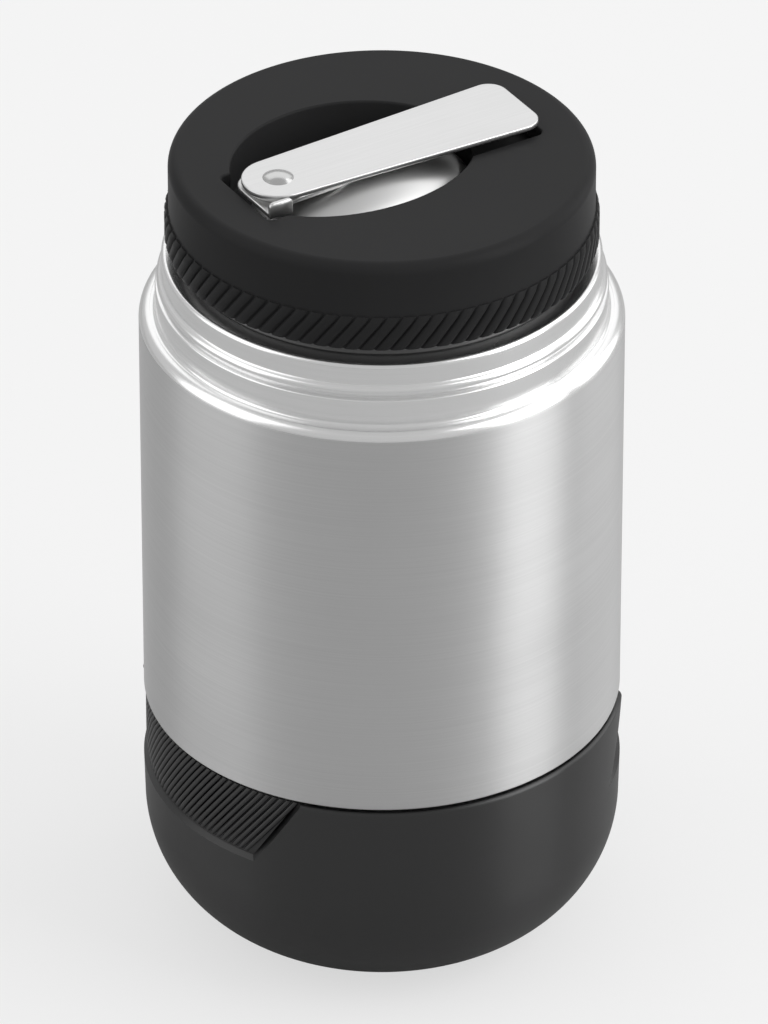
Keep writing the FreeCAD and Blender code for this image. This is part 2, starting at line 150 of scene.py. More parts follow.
def lathe(name: str, outline: Outline, segments: int = 256) -> Piece:
    """Turn a closed outline of (radius, height) points about the Z axis.

    Args:
        name: name of the piece.
        outline: the points, in order round the wall.
        segments: number of facets round the axis.

    Returns:
        The turned solid.
    """
    bm = bmesh.new()
    angles = [2 * math.pi * i / segments for i in range(segments)]
    rings = []
    for radius, height in outline:
        if radius < 1e-6:
            rings.append([bm.verts.new((0.0, 0.0, height))])
            continue
        rings.append([bm.verts.new((radius * math.cos(a), radius * math.sin(a), height))
                      for a in angles])
    for i, ring in enumerate(rings):
        after = rings[(i + 1) % len(rings)]
        if len(ring) == 1 and len(after) == 1:
            continue
        for j in range(segments):
            k = (j + 1) % segments
            corners = [ring[j % len(ring)], ring[k % len(ring)],
                       after[k % len(after)], after[j % len(after)]]
            bm.faces.new(list(dict.fromkeys(corners)))
    return finish_mesh(name, bm)


def join_rings(bm: bmesh.types.BMesh, rings: Sequence[Sequence[bmesh.types.BMVert]]) -> None:
    """Put walls between rings of equal length, one after the other.

    Args:
        bm: the mesh.
        rings: its closed rings of points.
    """
    for low, high in zip(rings, rings[1:]):
        for j in range(len(low)):
            k = (j + 1) % len(low)
            bm.faces.new((low[j], low[k], high[k], high[j]))


def stacked(name: str, rows: Sequence[Ring], sharp: float = CRISP) -> Piece:
    """Join closed rings of equal length into one capped solid.

    Args:
        name: name of the piece.
        rows: the rings, from one end to the other.
        sharp: edges that turn by more than this many degrees stay crisp.

    Returns:
        The solid.
    """
    bm = bmesh.new()
    rings = [[bm.verts.new(point) for point in row] for row in rows]
    join_rings(bm, rings)
    bm.faces.new(list(reversed(rings[0])))
    bm.faces.new(rings[-1])
    return finish_mesh(name, bm, sharp)


def banded(name: str, rows: Sequence[Ring]) -> Piece:
    """Join rings that each run out and back, and cap them with strips of squares.

    Args:
        name: name of the piece.
        rows: the rings, each one line out and one line back.

    Returns:
        The solid.
    """
    bm = bmesh.new()
    rings = [[bm.verts.new(point) for point in row] for row in rows]
    join_rings(bm, rings)
    for ring in (rings[0], rings[-1]):
        for j in range(len(ring) // 2 - 1):
            bm.faces.new((ring[j], ring[j + 1], ring[-j - 2], ring[-j - 1]))
    return finish_mesh(name, bm)


def keep_result(piece: Piece) -> None:
    """Turn what a piece's modifiers make of it into its plain mesh.

    Args:
        piece: the piece, which loses its modifiers.
    """
    bpy.context.view_layer.update()
    graph = bpy.context.evaluated_depsgraph_get()
    mesh = bpy.data.meshes.new_from_object(piece.evaluated_get(graph))
    piece.modifiers.clear()
    piece.data = mesh


def cut_away(piece: Piece, cutters: Sequence[Piece], sharp: float = CRISP) -> None:
    """Cut tools out of a piece and throw the tools away.

    Args:
        piece: the solid that is cut.
        cutters: the solids that are taken out of it.
        sharp: edges that turn by more than this many degrees stay crisp.
    """
    for cutter in cutters:
        modifier = piece.modifiers.new("cut", "BOOLEAN")
        modifier.operation = "DIFFERENCE"
        modifier.solver = "EXACT"
        modifier.object = cutter
    keep_result(piece)
    bm = bmesh.new()
    bm.from_mesh(piece.data)
    shade(bm, sharp)
    bm.to_mesh(piece.data)
    bm.free()
    for cutter in cutters:
        bpy.data.objects.remove(cutter)


def slanted_rib(name: str, foot: float, crest: float, low: float, high: float,
                width: float, slant: float) -> Piece:
    """Make one rounded rib that climbs a round wall at a slant.

    Args:
        name: name of the rib.
        foot: radius that the rib stands on.
        crest: radius of its top.
        low: lower end.
        high: upper end.
        width: width at the foot, in degrees round the axis.
        slant: turn from the lower end to the upper end, in degrees.

    Returns:
        The rib at angle zero.
    """
    rise = crest - foot
    section = [(0.0, -0.5), (0.72, -0.44), (1.0, -0.28), (1.0, 0.2), (0.78, 0.4), (0.0, 0.5)]
    steps = 6
    rows = []
    for i in range(steps + 1):
        share = i / steps
        drawn_in = 0.55 if i in (0, steps) else 1.0
        height = low + (high - low) * share
        row = []
        for lift, offset in section:
            angle = math.radians(slant * share + offset * width)
            reach = foot + rise * lift * drawn_in
            row.append((reach * math.cos(angle), reach * math.sin(angle), height))
        rows.append(row)
    return stacked(name, rows, sharp=CRISP_RIB)


def rib_ring(name: str, rib: Piece, material: Material, count: int, pitch: float,
             start: float) -> Piece:
    """Repeat a rib round the axis with a node tree and keep the result as a plain mesh.

    Args:
        name: name of the ring.
        rib: the rib at angle zero, which is used up.
        material: finish of the ribs.
        count: number of ribs.
        pitch: angle between ribs, in degrees.
        start: angle of the first rib, in degrees.

    Returns:
        The ring of ribs.
    """
    tree = bpy.data.node_groups.new(name + "_tree", "GeometryNodeTree")
    sockets: Dict[str, str] = {}
    for label, kind in (("Rib", "NodeSocketObject"), ("Count", "NodeSocketInt"),
                        ("Pitch", "NodeSocketFloat"), ("Start", "NodeSocketFloat"),
                        ("Finish", "NodeSocketMaterial")):
        item = tree.interface.new_socket(label, in_out="INPUT", socket_type=kind)
        sockets[label] = item.identifier
    tree.interface.new_socket("Geometry", in_out="OUTPUT", socket_type="NodeSocketGeometry")
    nodes = tree.nodes
    entry = nodes.new("NodeGroupInput")
    points = nodes.new("GeometryNodePoints")
    info = nodes.new("GeometryNodeObjectInfo")
    index = nodes.new("GeometryNodeInputIndex")
    turn = nodes.new("ShaderNodeMath")
    turn.operation = "MULTIPLY_ADD"
    spin = nodes.new("ShaderNodeCombineXYZ")
    place = nodes.new("GeometryNodeInstanceOnPoints")
    real = nodes.new("GeometryNodeRealizeInstances")
    paint = nodes.new("GeometryNodeSetMaterial")
    leave = nodes.new("NodeGroupOutput")
    for output, entrance in (
            (entry.outputs["Rib"], info.inputs["Object"]),
            (entry.outputs["Count"], points.inputs["Count"]),
            (index.outputs[0], turn.inputs[0]),
            (entry.outputs["Pitch"], turn.inputs[1]),
            (entry.outputs["Start"], turn.inputs[2]),
            (turn.outputs[0], spin.inputs["Z"]),
            (points.outputs[0], place.inputs["Points"]),
            (info.outputs["Geometry"], place.inputs["Instance"]),
            (spin.outputs[0], place.inputs["Rotation"]),
            (place.outputs[0], real.inputs[0]),
            (real.outputs[0], paint.inputs["Geometry"]),
            (entry.outputs["Finish"], paint.inputs["Material"]),
            (paint.outputs[0], leave.inputs[0])):
        tree.links.new(output, entrance)
    ring = bpy.data.objects.new(name, bpy.data.meshes.new(name))
    bpy.context.scene.collection.objects.link(ring)
    modifier = ring.modifiers.new("ribs", "NODES")
    modifier.node_group = tree
    for label, value in (("Rib", rib), ("Count", count), ("Pitch", math.radians(pitch)),
                         ("Start", math.radians(start)), ("Finish", material)):
        modifier[sockets[label]] = value
    keep_result(ring)
    bpy.data.objects.remove(rib)
    return ring


def set_inputs(tree: bpy.types.NodeTree, node: bpy.types.Node, inputs: Inputs) -> None:
    """Give a node's inputs their values, or link them to other nodes.

    Args:
        tree: the tree that holds the node.
        node: the node.
        inputs: for each input, a value or the output that feeds it.
    """
    for label, value in inputs.items():
        if isinstance(value, bpy.types.NodeSocket):
            tree.links.new(value, node.inputs[label])
        else:
            node.inputs[label].default_value = value


def add_node(tree: bpy.types.NodeTree, kind: str, inputs: Inputs,
             operation: str = "") -> bpy.types.Node:
    """Add a node to a tree.

    Args:
        tree: the tree.
        kind: type of the node.
        inputs: for each input, a value or the output that feeds it.
        operation: what a maths node does.

    Returns:
        The node.
    """
    node = tree.nodes.new(kind)
    if operation:
        node.operation = operation
    set_inputs(tree, node, inputs)
    return node


def new_material(name: str) -> Material:
    """Start a material that has a Principled shader and nothing else."""
    mat = bpy.data.materials.new(name)
    mat.use_nodes = True
    return mat


def stretch_glow(mat: Material, amount: float) -> None:
    """Stretch the highlights of a material upwards, as fine marks round the axis do.

    The direction leans a little, so that it is never parallel to a level face's normal.

    Args:
        mat: the material.
        amount: how much, from 0 to 1.
    """
    tree = mat.node_tree
    upright = add_node(tree, "ShaderNodeCombineXYZ", {"X": 0.01, "Z": 1.0})
    set_inputs(tree, tree.nodes["Principled BSDF"],
               {"Tangent": upright.outputs["Vector"], "Anisotropic": amount})


@dataclass(frozen=True)
class MetalFinish:
    """A steel surface with its brush marks."""

    name: str
    colour: float
    roughness: float
    grain: Grain = Grain.NONE
    grain_depth: float = 0.00001
    turn: float = 0.0
    upright_glow: float = 0.0

    def material(self) -> Material:
        """Build the shader of this steel.

        Returns:
            The material.
        """
        mat = new_material(self.name)
        tree = mat.node_tree
        shader = tree.nodes["Principled BSDF"]
        tint = (self.colour, self.colour, self.colour * 0.995, 1.0)
        set_inputs(tree, shader, {"Metallic": 1.0, "Base Color": tint})
        stretch_glow(mat, self.upright_glow)
        coords = add_node(tree, "ShaderNodeTexCoord", {}).outputs["Object"]
        smudge = add_node(tree, "ShaderNodeTexNoise", {
            "Vector": coords, "Scale": 38.0, "Detail": 4.0})
        level = add_node(tree, "ShaderNodeMapRange", {
            "Value": smudge.outputs["Fac"], "From Min": 0.3, "From Max": 0.75,
            "To Min": self.roughness * 0.93, "To Max": self.roughness * 1.1})
        if self.grain is Grain.NONE:
            set_inputs(tree, shader, {"Roughness": level.outputs["Result"]})
            return mat
        aligned = add_node(tree, "ShaderNodeMapping", {
            "Vector": coords, "Rotation": (0.0, 0.0, -self.turn)})
        stretched = add_node(tree, "ShaderNodeMapping", {
            "Vector": aligned.outputs["Vector"],
            "Scale": {Grain.ROUND_THE_AXIS: (22.0, 22.0, 3400.0),
                      Grain.ALONG_THE_SPOON: (50.0, 3000.0, 50.0)}[self.grain]})
        streaks = add_node(tree, "ShaderNodeTexNoise", {
            "Vector": stretched.outputs["Vector"], "Scale": 1.0, "Detail": 3.0}).outputs["Fac"]
        mixed = add_node(tree, "ShaderNodeMath", {
            0: streaks, 1: self.roughness * 0.12, 2: level.outputs["Result"]}, "MULTIPLY_ADD")
        tone = add_node(tree, "ShaderNodeMapRange", {
            "Value": streaks, "From Min": 0.25, "From Max": 0.75,
            "To Min": self.colour * 0.955, "To Max": self.colour * 1.03})
        bump = add_node(tree, "ShaderNodeBump", {
            "Height": streaks, "Strength": 0.2, "Distance": self.grain_depth})
        set_inputs(tree, shader, {
            "Roughness": mixed.outputs[0], "Base Color": tone.outputs["Result"],
            "Normal": bump.outputs["Normal"]})
        return mat


@dataclass(frozen=True)
class MouldedFinish:
    """A moulded plastic or rubber surface with a fine skin texture."""

    name: str
    colour: Tuple[float, float, float]
    roughness: float
    skin_scale: float = 2400.0
    skin_depth: float = 0.00002
    specular: float = 0.5
    upright_glow: float = 0.0

    def material(self) -> Material:
        """Build the shader of this moulding.

        Returns:
            The material.
        """
        mat = new_material(self.name)
        tree = mat.node_tree
        stretch_glow(mat, self.upright_glow)
        coords = add_node(tree, "ShaderNodeTexCoord", {}).outputs["Object"]
        skin = add_node(tree, "ShaderNodeTexNoise", {
            "Vector": coords, "Scale": self.skin_scale, "Detail": 3.0})
        cloud = add_node(tree, "ShaderNodeTexNoise", {
            "Vector": coords, "Scale": 55.0, "Detail": 5.0}).outputs["Fac"]
        bump = add_node(tree, "ShaderNodeBump", {
            "Height": skin.outputs["Fac"], "Strength": 0.3, "Distance": self.skin_depth})
        rough = add_node(tree, "ShaderNodeMapRange", {
            "Value": cloud, "To Min": self.roughness * 0.86, "To Max": self.roughness * 1.14})
        tint = add_node(tree, "ShaderNodeMixRGB", {
            0: cloud, 1: (*[c * 0.9 for c in self.colour], 1.0),
            2: (*[c * 1.12 for c in self.colour], 1.0)})
        set_inputs(tree, tree.nodes["Principled BSDF"], {
            "Specular IOR Level": self.specular, "Normal": bump.outputs["Normal"],
            "Roughness": rough.outputs["Result"], "Base Color": tint.outputs[0]})
        return mat


def dress(piece: Piece, material: Material, body: Body, slot: str, *nodes: str) -> None:
    """Give a piece its finish, its body and the solids it stands for.

    Args:
        piece: the piece.
        material: its finish, left as it is if the piece already has one.
        body: the moving body that carries it.
        slot: not used.
        nodes: the solids that it replaces.
    """
    if not piece.data.materials:
        piece.data.materials.append(material)
    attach(piece, body.value)
    if nodes:
        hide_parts(*nodes)
    LOG.info("%s: %d faces on %s", piece.name, len(piece.data.polygons), body.value)


@dataclass(frozen=True)
class ScrewThread:
    """One run of screw thread round the axis."""

    foot: float
    crest: float
    low: float
    high: float
    turns: float = 1.6
    foot_half: float = 0.9
    crest_half: float = 0.35

    def build(self, name: str) -> Piece:
        """Sweep the thread.

        Args:
            name: name of the thread.

        Returns:
            The thread, with its ends run out.
        """
        steps = int(96 * self.turns)
        rows = []
        for i in range(steps + 1):
            share = i / steps
            angle = 2 * math.pi * self.turns * share
            height = self.low + (self.high - self.low) * share
            run_out = max(min(1.0, share * 12.0, (1.0 - share) * 12.0), 0.05)
            reach = self.foot + (self.crest - self.foot) * run_out
            section = ((self.foot, -self.foot_half), (reach, -self.crest_half),
                       (reach, self.crest_half), (self.foot, self.foot_half))
            rows.append([(radius * math.cos(angle), radius * math.sin(angle), height + lift)
                         for radius, lift in section])
        return stacked(name, rows)


@dataclass
class SteelJar:
    """The double-walled steel body with its polished neck and mouth."""

    radius: float = 44.0
    wall: float = 0.8
    body_top: float = 126.6
    shoulder: float = 2.2
    steel_edge: float = 48.3
    seat_radius: float = 42.2
    foot: float = 20.0
    floor: float = 2.3
    band_radius: float = 41.0
    band_height: float = 5.0
    collar_radius: float = 39.8
    bead: float = 0.9
    ledge: float = 140.5
    neck_radius: float = 35.8
    neck_wall: float = 0.6
    mouth: float = 149.0
    vessel_radius: float = 37.0
    vessel_wall: float = 0.6
    vessel_floor: float = 8.6
    vessel_round: float = 14.0
    vessel_shoulder: float = 130.0
    thread: ScrewThread = ScrewThread(35.7, 36.25, 142.6, 146.8)
    brushed: MetalFinish = MetalFinish(
        "brushed_steel", 0.68, 0.42, Grain.ROUND_THE_AXIS, 0.000005, upright_glow=0.9)
    polished: MetalFinish = MetalFinish(
        "polished_neck_steel", 0.9, 0.24, Grain.ROUND_THE_AXIS, 0.000002, upright_glow=0.5)
    # Neck above the ledge, in the gap under the lid: its dark colour is painted shade, and its
    # higher roughness is a real rougher finish.
    painted_shade_neck: MetalFinish = MetalFinish(
        "neck_steel_painted_shade", 0.16, 0.5, Grain.ROUND_THE_AXIS)
    inside: MetalFinish = MetalFinish(
        "satin_inside_steel", 0.5, 0.3, Grain.ROUND_THE_AXIS)

    def shell_outline(self) -> Outline:
        """Return the outline of the outer wall, from the foot up and back down inside."""
        base = self.body_top + self.shoulder
        band_top = base + self.band_height
        seat_round = self.seat_radius - self.foot
        seat_middle = self.floor + seat_round
        inset = self.radius - self.shoulder
        band_inside = self.band_radius - self.wall
        collar_inside = self.collar_radius - self.wall
        neck_inside = self.neck_radius - self.neck_wall
        neck_top = self.mouth - self.neck_wall
        bead_middle = band_top + 0.6 + self.bead
        lip, fillet, edge, soft, hollow = 0.5, 0.7, 0.3, 0.8, 0.5
        out: Outline = [(self.foot - 3.0, self.floor)]
        out += arc(self.foot, seat_middle, seat_round, -90, 0, 24)
        out += [(self.seat_radius, self.steel_edge - lip)]
        out += arc(self.radius - lip, self.steel_edge, lip, -90, 0, 6)
        out += arc(inset, self.body_top, self.shoulder, 0, 84, 12)
        out += [(self.band_radius + 1.0, base - 0.25), (self.band_radius + 0.8, base - 0.25)]
        out += arc(self.band_radius + fillet, base + 0.45, fillet, -90, -180, 8)
        out += [(self.band_radius, band_top - 0.2)]
        out += arc(self.band_radius - edge, band_top - 0.2, edge, 0, 80, 4)
        out += [(self.collar_radius + 0.15, band_top + 0.35)]
        out += arc(self.collar_radius - 0.1, bead_middle, self.bead + 0.1, -70, 70, 14)
        out += [(self.collar_radius, band_top + 2.7)]
        out += arc(self.collar_radius - soft, self.ledge - soft, soft, 0, 90)
        out += [(self.neck_radius + 0.6, self.ledge)]
        out += arc(self.neck_radius + hollow, self.ledge + hollow, hollow, -90, -180, 5)
        out += [(self.neck_radius, neck_top), (neck_inside, neck_top)]
        out += [(neck_inside, self.ledge - self.wall), (collar_inside, self.ledge - self.wall)]
        out += [(collar_inside, band_top), (band_inside, band_top - 0.8)]
        out += [(band_inside, base - self.wall - 0.3)]
        out += arc(inset, self.body_top, self.shoulder - self.wall, 84, 0, 6)
        out += [(self.radius - self.wall, self.steel_edge + 0.4)]
        out += [(self.seat_radius - self.wall, self.steel_edge + 0.4)]
        out += arc(self.foot, seat_middle, seat_round - self.wall, 0, -90, 24)
        out += [(self.foot - 3.0, self.floor + self.wall)]
        return out

    def vessel_outline(self) -> Outline:
        """Return the outline of the inner vessel with its rolled rim."""
        neck = self.neck_radius - self.neck_wall - 0.05
        neck_top = self.mouth - self.neck_wall
        thick, rim, slope = self.vessel_wall, 0.25, 4.0
        corner = self.vessel_radius - self.vessel_round
        middle = self.vessel_floor + self.vessel_round
        out: Outline = [(0.0, self.vessel_floor)]
        out += arc(corner, middle, self.vessel_round, -90, 0, 16)
        out += [(self.vessel_radius, self.vessel_shoulder), (neck, self.vessel_shoulder + slope)]
        out += [(neck, neck_top), (self.neck_radius, neck_top)]
        out += arc(self.neck_radius - rim, self.mouth - rim, rim, 0, 90, 4)
        out += arc(neck - thick + rim, self.mouth - rim, rim, 90, 180, 4)
        out += [(neck - thick, self.vessel_shoulder + slope - 0.2)]
        out += [(self.vessel_radius - thick, self.vessel_shoulder - 0.2)]
        out += arc(corner, middle, self.vessel_round - thick, 0, -90, 16)
        out += [(0.0, self.vessel_floor + thick)]
        return out

    def build(self) -> None:
        """Make the steel body, its vessel and its neck thread."""
        brushed = self.brushed.material()
        polished = self.polished.material()
        inside = self.inside.material()
        shell = lathe("steel_outer_wall", self.shell_outline(), WALL_FACETS)
        for material in (brushed, polished, self.painted_shade_neck.material()):
            shell.data.materials.append(material)
        # Faces above the ledge, under the lid, take the neck steel with painted shade; the band and
        # collar take the polished steel.
        for face in shell.data.polygons:
            if face.center.z > (self.ledge + 0.02) * MM:
                face.material_index = 2
            elif face.center.z > (self.body_top + self.shoulder * 0.3) * MM:
                face.material_index = 1
        dress(shell, brushed, Body.JAR, "steel_body", "outer_shell")
        vessel = lathe("steel_inner_vessel", self.vessel_outline())
        dress(vessel, inside, Body.JAR, "steel_inside", "inner_vessel")
        dress(self.thread.build("neck_thread"), inside, Body.JAR, "steel_inside")


@dataclass
class RubberBoot:
    """The black rubber boot with a sunken ribbed grip on each side."""

    foot: float = 19.5
    corner: float = 24.5
    flare: float = 0.54
    top: float = 47.3
    recess: float = 0.8
    floor: float = 2.0
    seat_radius: float = 42.3
    grip_height: float = 14.5
    grip_reach: float = 37.0
    grip_turn: float = 34.0
    grip_slant: float = 14.0
    grip_depth: float = 0.8
    rib_rise: float = 0.5
    rib_pitch: float = 1.35
    grip_bevel: float = 0.9
    rim_round: float = 0.7
    rim_height: float = 14.0
    hollow_radius: float = 20.0
    rubber: MouldedFinish = MouldedFinish(
        "black_rubber", (0.003, 0.003, 0.0032), 0.37, 3000.0, 0.00001, 0.8, 0.9)

    def outline(self) -> Outline:
        """Return the outline of the boot without its grips."""
        side = self.foot + self.corner
        rim_foot = self.top - self.rim_height
        flared = side + self.flare * (rim_foot - self.corner) / (self.top - self.corner)
        soft, hollow = self.rim_round, self.hollow_radius
        out: Outline = [(0.0, self.recess), (self.foot - 5.5, self.recess), (self.foot - 4.7, 0.0)]
        out += arc(self.foot, self.corner, self.corner, -90, 0, 40)
        out += [(flared, rim_foot)]
        out += arc(side + self.flare - soft, self.top - soft, soft, 0, 90)
        out += [(self.seat_radius + 0.3, self.top), (self.seat_radius, self.top - 0.3)]
        out += arc(hollow, self.corner, self.seat_radius - hollow, 0, -90, 20)
        out += [(hollow, self.floor), (0.0, self.floor)]
        return out

    def grip_cutter(self, name: str, middle: float) -> Piece:
        """Make the slanted band that sinks one grip, with a bevelled edge.

        Args:
            name: name of the cutter.
            middle: angle of the grip's middle at the top edge, in degrees.

        Returns:
            The cutter.
        """
        inside = self.foot + self.corner - self.grip_depth
        outside = self.foot + self.corner + self.flare
        low = self.top - self.grip_height
        columns = 48
        rows = []
        for radius, grow in ((inside, 0.0), (outside, self.grip_bevel),
                             (outside + 3.0, self.grip_bevel)):
            spread = self.grip_reach + math.degrees(grow / inside)
            lines = []
            for height, lean in ((low - grow, -self.grip_slant), (self.top + 2.0, 0.0)):
                angles = [math.radians(middle + lean - spread + 2 * spread * i / columns)
                          for i in range(columns + 1)]
                lines.append([(radius * math.cos(a), radius * math.sin(a), height) for a in angles])
            rows.append(lines[0] + lines[1][::-1])
        return banded(name, rows)

    def build(self) -> None:
        """Make the boot and the ribs of its two grips."""
        rubber = self.rubber.material()
        boot = lathe("rubber_boot", self.outline(), WALL_FACETS)
        middles = (self.grip_turn, self.grip_turn + 180.0)
        cut_away(boot, [self.grip_cutter("grip_cutter_%d" % i, m) for i, m in enumerate(middles)])
        dress(boot, rubber, Body.JAR, "rubber", "base_boot")
        root = self.foot + self.corner - self.grip_depth
        margin = math.degrees(self.grip_bevel / root)
        reach = self.grip_reach - margin
        count = int(math.radians(2 * reach) * root / self.rib_pitch)
        pitch = 2 * reach / count
        low = self.top - self.grip_height + 0.5
        for i, middle in enumerate(middles):
            rib = slanted_rib("grip_rib", root - 0.25, root + self.rib_rise, low, self.top - 0.15,
                              pitch * 0.92, self.grip_slant)
            start = middle - self.grip_slant - reach + pitch / 2
            ring = rib_ring("boot_grip_ribs_%d" % (i + 1), rib, rubber, count, pitch, start)
            dress(ring, rubber, Body.JAR, "rubber")


@dataclass
class ScrewLid:
    """The black screw lid with grip ribs and the well that holds the spoon."""

    radius: float = 38.4
    wall: float = 1.6
    bottom: float = 143.0
    top: float = 160.2
    edge_round: float = 2.1
    rib_height: float = 7.0
    rib_rise: float = 0.75
    rib_count: int = 88
    rib_slant: float = 7.5
    plug_radius: float = 33.9
    plug_bottom: float = 139.6
    mouth: float = 149.0
    gasket: float = 1.2
    flange: float = 1.6
    well_depth: float = 7.8
    well_centre: float = -5.5
    well_length: float = 46.0
    well_near: float = 15.8
    well_far: float = 21.0
    slot_length: float = 57.6
    slot_width: float = 17.4
    slot_depth: float = 3.0
    slot_corner: float = 1.2
    lip_round: float = 0.45
    foot_round: float = 0.4
    rib_ground: float = 0.1
    gasket_radius: float = 36.0
    thread: ScrewThread = ScrewThread(36.9, 36.45, 144.2, 148.4)
    plastic: MouldedFinish = MouldedFinish(
        "black_lid_plastic", (0.024, 0.024, 0.0245), 0.38, 2600.0, 0.000008, 0.05, 0.6)
    liner_plastic: MouldedFinish = MouldedFinish(
        "black_liner_plastic", (0.014, 0.014, 0.0145), 0.32, 1600.0, 0.00001, 0.35)
    silicone: MouldedFinish = MouldedFinish(
        "grey_silicone", (0.22, 0.22, 0.22), 0.55, 1500.0, 0.00001)

    def outline(self) -> Outline:
        """Return the outline of the lid before its well is cut."""
        flange_top = self.mouth + self.gasket + self.flange
        inner = self.radius - self.wall
        ground = self.radius + self.rib_ground
        rib_top = self.bottom + self.rib_height
        edge, soft = self.edge_round, self.foot_round
        out: Outline = [(inner + 0.2, self.bottom)]
        out += arc(ground - soft, self.bottom + soft, soft, -90, 0, 4)
        out += [(ground, rib_top - 0.25), (self.radius, rib_top + 0.1)]
        out += arc(self.radius - edge, self.top - edge, edge, 0, 90, 14)
        out += [(0.0, self.top), (0.0, flange_top), (inner, flange_top), (inner, self.bottom + 0.2)]
        return out

    def well_ring(self, grow: float, height: float) -> Ring:
        """Return the egg outline of the well at one height, grown by a margin."""
        half = self.well_length / 2 + grow
        steps = 96
        ring = []
        for i in range(steps):
            angle = 2 * math.pi * i / steps
            depth = (self.well_far if angle < math.pi else self.well_near) + grow
            along = self.well_centre + half * math.cos(angle)
            ring.append(self.placed(along, depth * math.sin(angle), height))
        return ring

    def slot_ring(self, grow: float, height: float) -> Ring:
        """Return the outline of the long slot at one height, its corners rounded."""
        radius = self.slot_corner + grow
        along = self.slot_length / 2 + grow - radius
        across = self.slot_width / 2 + grow - radius
        ring = []
        for quarter, (sx, sy) in enumerate(((1, 1), (-1, 1), (-1, -1), (1, -1))):
            corner = arc(sx * along, sy * across, radius, 90 * quarter, 90 * quarter + 90, 6)
            ring += [self.placed(u, v, height) for u, v in corner]
        return ring

    def placed(self, along: float, across: float, height: float) -> Point:
        """Turn a point of the spoon's frame into the lid's."""
        angle = math.radians(SPOON_ANGLE)
        return (along * math.cos(angle) - across * math.sin(angle),
                along * math.sin(angle) + across * math.cos(angle), self.top + height)

    def cutter(self, name: str, ring: Callable[[float, float], Ring], depth: float) -> Piece:
        """Make the tool for a recess whose top edge is rounded.

        Args:
            name: name of the tool.
            ring: the recess's outline for a margin and a height.
            depth: depth of the recess.

        Returns:
            The tool.
        """
        rows = [ring(-0.5, -depth), ring(-0.15, -depth + 0.12), ring(0.0, -depth + 0.5)]
        lip = self.lip_round
        for grow, height in arc(lip, -lip, lip, 180, 90, 5):
            rows.append(ring(grow, height))
        rows.append(ring(lip + 0.05, 1.0))
        return stacked(name, rows)

    def build(self) -> None:
        """Make the lid, its ribs, liner, gasket and thread."""
        plastic = self.plastic.material()
        lid = lathe("lid_shell_moulding", self.outline(), WALL_FACETS)
        cut_away(lid, [self.cutter("well_tool", self.well_ring, self.well_depth),
                       self.cutter("slot_tool", self.slot_ring, self.slot_depth)])
        dress(lid, plastic, Body.LID, "lid_plastic", "lid_shell")
        pitch = 360.0 / self.rib_count
        rib = slanted_rib("lid_rib", self.radius - 0.1, self.radius + self.rib_rise,
                          self.bottom + 0.15, self.bottom + self.rib_height - 0.1,
                          pitch * 0.93, self.rib_slant)
        ring = rib_ring("lid_grip_ribs", rib, plastic, self.rib_count, pitch, 0.0)
        dress(ring, plastic, Body.LID, "lid_plastic")
        self.build_liner()

    def build_liner(self) -> None:
        """Make the plug, the gasket and the inner thread."""
        liner_plastic = self.liner_plastic.material()
        seat = self.mouth + self.gasket
        inner = self.plug_radius - self.wall
        outer = self.radius - self.wall - 0.1
        corner = 0.8
        out: Outline = [(0.0, self.plug_bottom)]
        out += arc(self.plug_radius - corner, self.plug_bottom + corner, corner, -90, 0, 6)
        out += [(self.plug_radius, seat), (outer, seat)]
        out += [(outer, seat + self.flange), (inner, seat + self.flange)]
        out += [(inner, self.plug_bottom + self.wall), (0.0, self.plug_bottom + self.wall)]
        dress(lathe("lid_plug", out), liner_plastic, Body.LID, "liner_plastic", "lid_liner")
        rim = self.gasket_radius
        ring: Outline = [(self.plug_radius + 0.4, self.mouth), (rim - 0.1, self.mouth)]
        ring += [(rim, self.mouth + 0.2), (rim, seat)]
        ring += [(self.plug_radius + 0.3, seat)]
        gasket = lathe("silicone_gasket", ring)
        dress(gasket, self.silicone.material(), Body.SEAL, "silicone", "lid_gasket")
        dress(self.thread.build("lid_thread"), liner_plastic, Body.LID, "lid_plastic")


